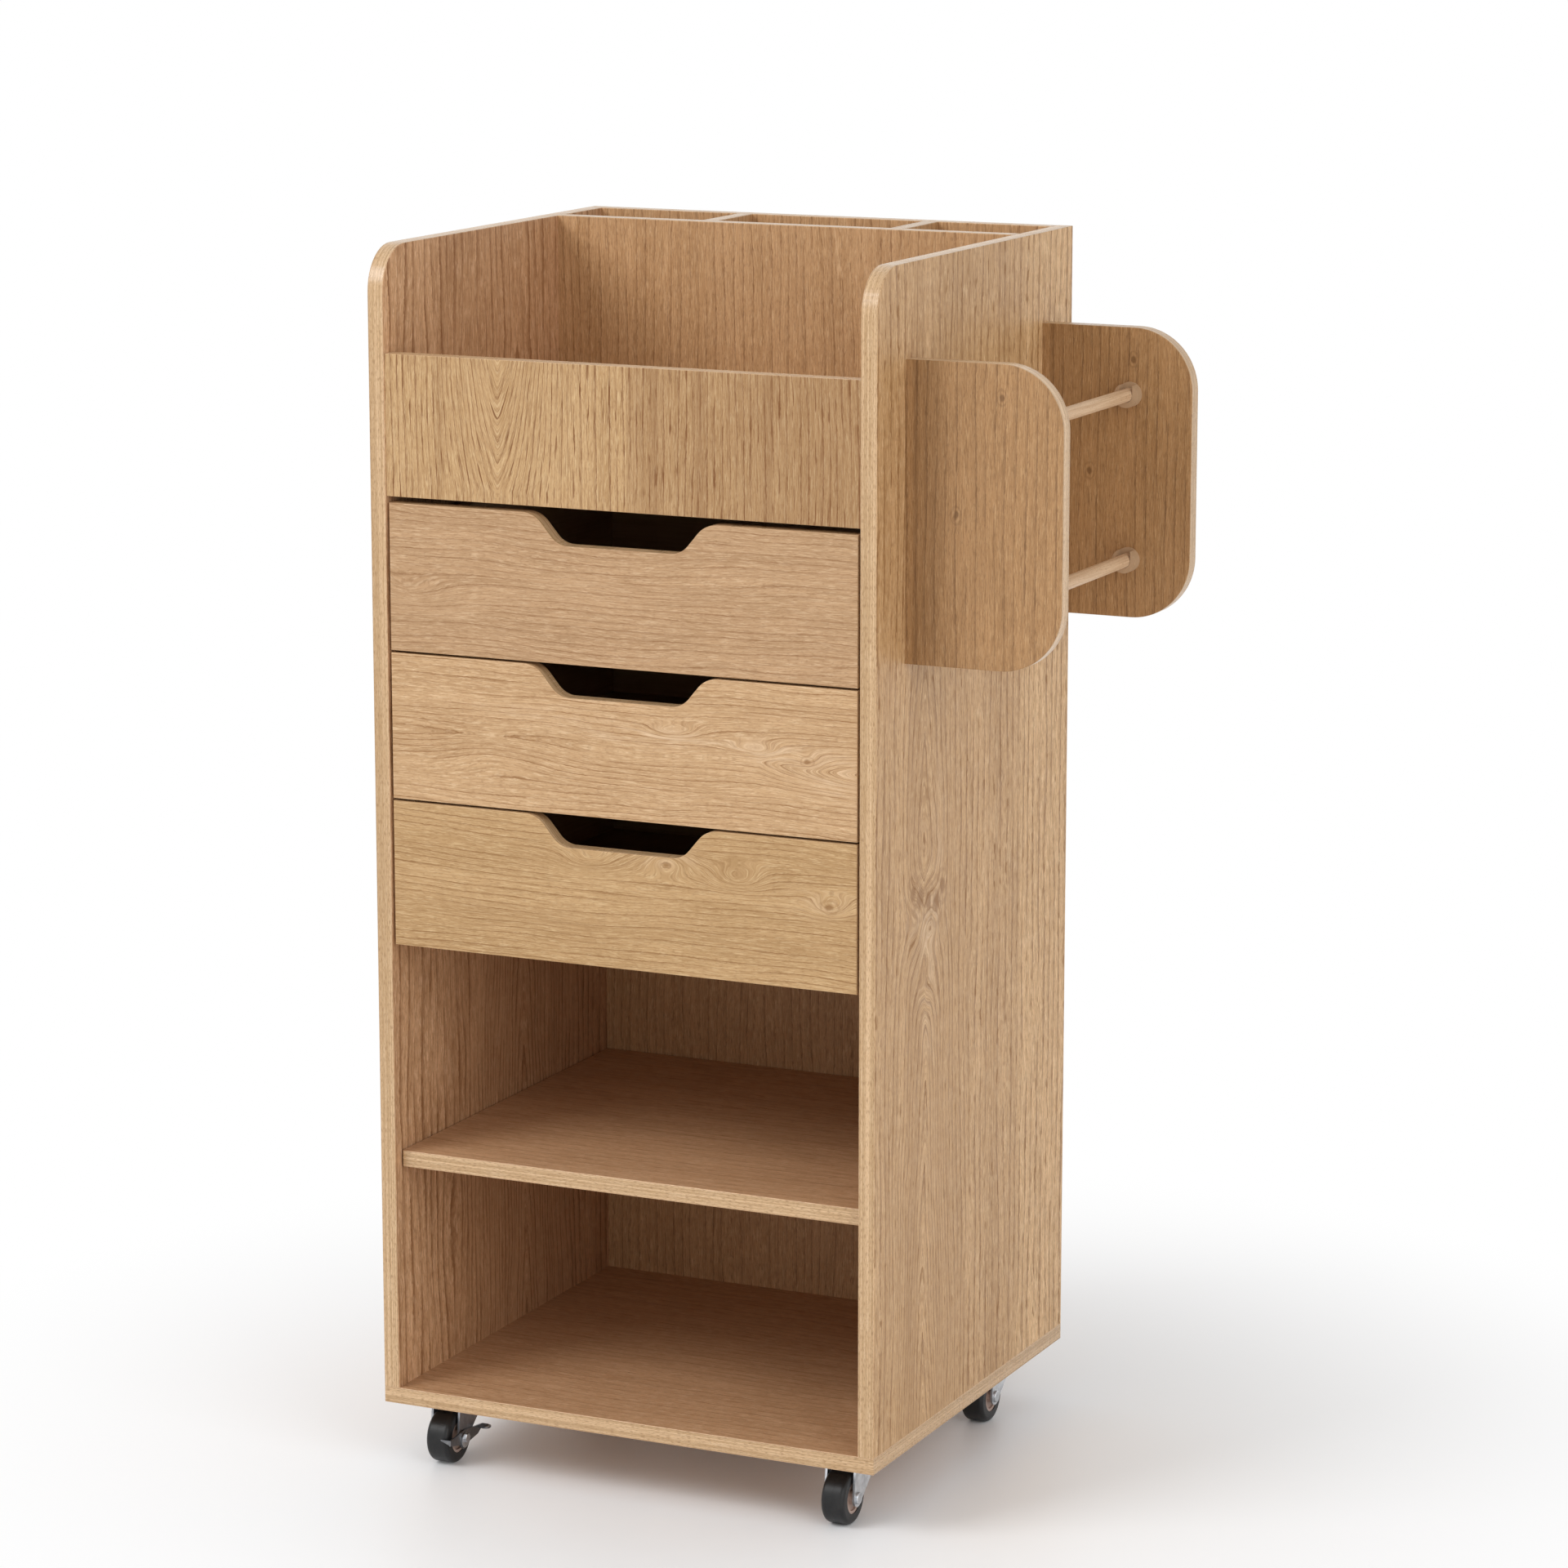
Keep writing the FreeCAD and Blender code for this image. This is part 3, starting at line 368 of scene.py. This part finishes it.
def rubber(name, middle_x):
    """Tyre rubber: slight mottling, dust in the tread and a faint mould line round the middle."""
    graph = Graph("rubber_" + name)
    x, y, z = (graph.place[axis] for axis in "XYZ")
    mottle = graph.noise(x * 300.0, y * 300.0, z * 300.0, 4.0)
    dust = graph.noise(x * 90.0, y * 60.0, z * 60.0, 4.0).above(0.50, 0.75)
    mould = (x - middle_x).size().below(0.0001, 0.0004)
    colour = graph.mix(mottle, (0.010, 0.010, 0.011), (0.020, 0.020, 0.020))
    colour = graph.mix(dust * 0.12, colour, (0.09, 0.086, 0.082))
    grit = graph.noise(x * 2600.0, y * 2600.0, z * 2600.0, 2.0)
    return graph.surface(colour, 0.30 + mottle * 0.16, grit + mould * 1.5, bump=0.2, depth=0.0002,
                         specular_ior_level=0.30)


def plastic(name, light, deep, rough=0.42):
    """Moulded plastic with a fine spark-eroded texture."""
    graph = Graph("plastic_" + name)
    x, y, z = (graph.place[axis] for axis in "XYZ")
    cloud = graph.noise(x * 70.0, y * 70.0, z * 70.0, 3.0)
    grit = graph.noise(x * 3200.0, y * 3200.0, z * 3200.0, 2.0)
    colour = graph.mix(cloud, light, deep)
    return graph.surface(colour, rough + cloud * 0.14, grit, bump=0.2, depth=0.0001)


def dress(name, material):
    """Give a carried-over node one finish all over."""
    slots = nodes[name].data.materials
    if len(slots) == 0:
        slots.append(material)
    for i in range(len(slots)):
        slots[i] = material


def dress_carcass():
    knots = ((-0.136, 0.556, 0.0054), (-0.120, 0.549, 0.0068), (-0.103, 0.543, 0.0062),
             (-0.086, 0.540, 0.0072), (-0.072, 0.551, 0.0054))
    eyes = ((-0.112, 0.530, 0.036, 0.034, 0.060), (-0.098, 0.520, 0.016, 0.014, -0.030),
            (-0.108, 0.470, 0.022, 0.026, 0.030))
    bands = ((-0.30, 0.104, 0.002, 0.22), (-0.200, -0.180, 0.010, 0.12), (-0.150, -0.120, 0.010, 0.20),
             (-0.096, -0.036, 0.016, 0.12), (-0.036, -0.012, 0.006, 0.10), (0.034, 0.062, 0.010, 0.14))
    glows = ((-0.108, 0.518, 0.034, 0.032, 0.90), (-0.080, 0.600, 0.014, 0.060, 0.45),
             (-0.105, 0.450, 0.016, 0.050, 0.42))
    right = Grain(SIDE_TONE, widen=2.0, ring_strength=0.70, pore_strength=0.85, pore_length=0.014,
                  heart=(-0.110, 0.78, -0.17, 0.050), sway=0.024, streaks=0.36, line_from=0.62,
                  eyes=eyes, knots=knots, bands=bands, glows=glows)
    # The left side's band darkens its face from 0.12 m in front of the middle to the back edge: painted
    # shade, for the shadow on the bay's inner wall.
    left = Grain(LEFT_TONE, widen=2.0, ring_strength=0.80, pore_strength=0.45, pore_length=0.030,
                 heart=(0.03, 1.00, -0.16, 0.060), sway=0.030, streaks=0.36, line_from=0.55,
                 bands=((-0.120, 0.30, 0.004, 0.18),))
    dress("right_side_panel", oak("right_side_panel", "Z", "X", right, 1.0))
    dress("left_side_panel", oak("left_side_panel", "Z", "X", left, 2.0))
    tray = Grain(TRAY_TONE, ring=0.0066, ring_strength=0.70, pore_strength=1.0, pore_width=0.0013,
                 pore_length=0.022, heart=(-0.185, 0.892, 0.36, 0.042), sway=0.012, streaks=0.20,
                 bands=((-0.0635, 0.30, 0.0006, 0.26), (0.05, 0.30, 0.040, 0.14),
                        (0.002, 0.010, 0.005, 0.34), (-0.040, -0.034, 0.005, 0.30),
                        (0.066, 0.072, 0.005, 0.26), (-0.246, -0.240, 0.005, 0.20)))
    dress("tray_front", oak("tray_front", "Z", "Y", tray, 3.0))
    wall = Grain(WALL_TONE, ring=0.009, ring_strength=0.40, pore_strength=0.50, pore_length=0.011)
    dress("pen_box_front", oak("pen_box_front", "Z", "Y", wall, 4.0))
    dress("back_panel", oak("back_panel", "Z", "Y", wall, 5.0))
    dress("pen_divider_left", oak("pen_divider_left", "Z", "X", wall, 6.0))
    dress("pen_divider_right", oak("pen_divider_right", "Z", "X", wall, 7.0))
    flat = Grain(SHELF_TONE, widen=1.3, ring=0.009, ring_strength=0.30, pore_strength=0.30,
                 pore_length=0.025, heart=(0.05, 0.10, -0.08, 0.040))
    flats = ("base_panel", "shelf", "tray_floor", "bay_top_panel", "pen_box_floor")
    for seed, name in enumerate(flats, start=11):
        dress(name, oak(name, "X", "Z", flat, float(seed)))
    rack = Grain(RACK_TONE, ring=0.009, ring_strength=0.45, pore_strength=0.45, pore_length=0.018,
                 sway=0.012,
                 knots=((0.2556, 0.9889, 0.0024), (0.2151, 0.8882, 0.0026)),
                 bands=((0.176, 0.181, 0.002, 0.35), (0.181, 0.200, 0.006, 0.16)))
    dress("rack_front_plate", oak("rack_front_plate", "Z", "Y", rack, 8.0))
    dress("rack_rear_plate", oak("rack_rear_plate", "Z", "Y", rack, 9.0))


def dress_drawers():
    upper = Grain(UPPER_TONE, ring=0.0065, ring_strength=0.50, pore_strength=0.24, pore_length=0.018,
                  sway=0.024, eyes=((0.800, -0.27, 0.012, 0.045, 0.012),))
    middle = Grain(MIDDLE_TONE, ring=0.0056, ring_strength=0.70, pore_strength=0.22, pore_length=0.016,
                   sway=0.022, knots=((0.680, 0.1054, 0.0022),),
                   heart=(0.677, 0.062, 0.40, 0.018),
                   glows=((0.686, 0.070, 0.010, 0.050, 0.55), (0.690, -0.035, 0.007, 0.080, 0.52),
                          (0.668, 0.135, 0.018, 0.034, 0.42), (0.702, -0.150, 0.007, 0.060, 0.25)),
                   eyes=((0.682, 0.105, 0.008, 0.014, 0.010), (0.687, 0.058, 0.005, 0.026, 0.009),
                         (0.697, -0.017, 0.006, 0.024, 0.011), (0.660, -0.200, 0.020, 0.060, 0.010)))
    lower = Grain(LOWEST_TONE, ring=0.0060, ring_strength=0.66, pore_strength=0.24, pore_length=0.016,
                  sway=0.022, knots=((0.5565, 0.1262, 0.0030),),
                  eyes=((0.5565, 0.126, 0.009, 0.016, 0.018), (0.578, -0.100, 0.012, 0.030, 0.016),
                        (0.583, -0.029, 0.012, 0.022, -0.018), (0.574, 0.040, 0.010, 0.022, 0.016)),
                  glows=((0.560, 0.118, 0.012, 0.028, 0.38), (0.588, -0.030, 0.010, 0.040, 0.40)),
                  bands=((0.515, 0.528, 0.006, 0.10),))
    grains = {"upper": upper, "middle": middle, "lower": lower}
    foil = ((0.62, 0.42, 0.25), (0.53, 0.34, 0.19))
    hardboard = ((0.56, 0.37, 0.22), (0.48, 0.30, 0.17))
    for seed, (which, grain) in enumerate(grains.items(), start=21):
        prefix = which + "_drawer_"
        dress(prefix + "front", oak(prefix + "front", "X", "Y", grain, float(seed)))
        for side in ("left_side", "right_side"):
            dress(prefix + side, plain_board(prefix + side, "Y", *foil, float(seed)))
        dress(prefix + "back", plain_board(prefix + "back", "X", *foil, seed + 3.0))
        dress(prefix + "bottom", plain_board(prefix + "bottom", "Y", *hardboard, seed + 6.0))
        dress(prefix + "runners", zinc(prefix + "runners", dull=0.30, seed=float(seed)))


def dress_hardware():
    for name in ("shelf_pins", "cabinet_runners", "cam_bolts", "carcass_screws", "caster_screws"):
        dress(name, zinc(name))
    dress("cam_locks", zinc("cam_locks", tint=(0.55, 0.56, 0.58), dull=0.36))
    dress("caster_plates", zinc("caster_plates"))
    dress("rod_cups", plastic("rod_cups", (0.52, 0.35, 0.21), (0.44, 0.29, 0.17)))
    for seed, name in enumerate(("upper_ribbon_rod", "lower_ribbon_rod"), start=41):
        dress(name, dowel(name, float(seed)))


def dress_casters():
    for seed, place in enumerate(("front_left", "front_right", "back_left", "back_right")):
        low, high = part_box(place + "_tyre")
        dress(place + "_tyre", rubber(place, (low[0] + high[0]) / 2))
        dress(place + "_hub", plastic(place + "_hub", (0.50, 0.37, 0.31), (0.42, 0.30, 0.25)))
        dull = 0.22 if place == "front_left" else 0.20
        # The front left fork gets a darker zinc colour than the other three: painted shade, for the shadow
        # that fork stands in.
        tint = (0.44, 0.45, 0.48) if place == "front_left" else (0.70, 0.72, 0.75)
        dress(place + "_fork", zinc(place + "_fork", tint, dull, float(seed)))
        dress(place + "_axle", zinc(place + "_axle", seed=float(seed)))
        if place.endswith("left"):
            dress(place + "_brake_lever", dark_steel(place))


# The stage: a pale floor that fades to white, soft light and the photograph's viewing angle

FLOOR_RADIUS = 7.0
FLOOR_SIDES = 96
FADE_FROM = 0.22
FADE_TO = 0.98


def seen_directly(graph):
    """1 for what the camera sees itself, in a reflection or through glass."""
    path = graph.node("LightPath")
    rays = [Field(graph, path.outputs[k]) for k in ("Is Camera Ray", "Is Glossy Ray", "Is Transmission Ray")]
    return graph.math("MINIMUM", rays[0] + rays[1] + rays[2], 1.0)


def make_floor():
    corners = []
    for i in range(FLOOR_SIDES):
        turn = 2 * math.pi * i / FLOOR_SIDES
        corners.append((FLOOR_RADIUS * math.cos(turn), FLOOR_RADIUS * math.sin(turn), 0.0))
    mesh = bpy.data.meshes.new("floor")
    mesh.from_pydata(corners, [], [tuple(range(FLOOR_SIDES))])
    floor = bpy.data.objects.new("floor", mesh)
    bpy.context.scene.collection.objects.link(floor)
    graph = Graph("floor")
    x, y = graph.place["X"], graph.place["Y"]
    distance = (x * x + y * y).root()
    speckle = graph.noise(x * 40.0, y * 40.0, 0.0, 4.0)
    colour = graph.mix(speckle, (0.948, 0.956, 0.968), (0.962, 0.968, 0.978))
    graph.surface(colour, 0.38 + speckle * 0.1, specular_ior_level=0.35)
    plain = graph.output.inputs["Surface"].links[0].from_socket
    glow = graph.node("Emission")
    glow.inputs["Strength"].default_value = 1.0
    fade = graph.node("MixShader")
    graph.put(fade.inputs[0], distance.above(FADE_FROM, FADE_TO) * seen_directly(graph))
    graph.put(fade.inputs[1], plain)
    graph.put(fade.inputs[2], glow.outputs[0])
    graph.put(graph.output.inputs["Surface"], fade.outputs[0])
    mesh.materials.append(graph.material)


WORLD_LIGHT = 0.62


def make_world():
    world = bpy.data.worlds.new("studio")
    world.use_nodes = True
    bpy.context.scene.world = world
    tree = world.node_tree
    background = next(n for n in tree.nodes if n.type == "BACKGROUND")
    background.inputs["Color"].default_value = (1.0, 1.0, 1.0, 1.0)
    path = tree.nodes.new("ShaderNodeLightPath")
    strength = path.outputs["Is Camera Ray"]
    for ray in ("Is Glossy Ray", "Is Transmission Ray"):
        total = tree.nodes.new("ShaderNodeMath")
        total.operation = "MAXIMUM"
        tree.links.new(strength, total.inputs[0])
        tree.links.new(path.outputs[ray], total.inputs[1])
        strength = total.outputs[0]
    scale = tree.nodes.new("ShaderNodeMath")
    scale.operation = "MULTIPLY_ADD"
    tree.links.new(strength, scale.inputs[0])
    scale.inputs[1].default_value = 1.0 - WORLD_LIGHT
    scale.inputs[2].default_value = WORLD_LIGHT
    tree.links.new(scale.outputs[0], background.inputs["Strength"])


def aim(thing, target):
    thing.rotation_euler = (Vector(target) - thing.location).to_track_quat("-Z", "Y").to_euler()


def soft_light(name, place, target, width, height, power):
    data = bpy.data.lights.new(name, "AREA")
    data.shape = "RECTANGLE"
    data.size = width
    data.size_y = height
    data.energy = power
    lamp = bpy.data.objects.new(name, data)
    lamp.location = place
    bpy.context.scene.collection.objects.link(lamp)
    aim(lamp, target)


def make_lights():
    middle = (-0.05, 0.0, 0.6)
    soft_light("key", (-2.4, -3.0, 3.4), middle, 2.2, 2.2, 95.0)
    soft_light("fill", (2.8, -1.6, 1.8), middle, 2.4, 2.4, 34.0)


CAMERA_PLACE = (1.879, -4.069, 1.519)
CAMERA_PITCH = 11.43
CAMERA_YAW = 24.97
CAMERA_LENS = 118.1


def make_camera():
    data = bpy.data.cameras.new("camera")
    data.lens = CAMERA_LENS
    data.sensor_width = 36.0
    camera = bpy.data.objects.new("camera", data)
    camera.location = CAMERA_PLACE
    camera.rotation_euler = (math.radians(90.0 - CAMERA_PITCH), 0.0, math.radians(CAMERA_YAW))
    bpy.context.scene.collection.objects.link(camera)
    bpy.context.scene.camera = camera


make_camera()
dress_carcass()
dress_drawers()
dress_hardware()
dress_casters()
make_floor()
make_world()
make_lights()
bpy.context.scene.view_settings.view_transform = "Standard"
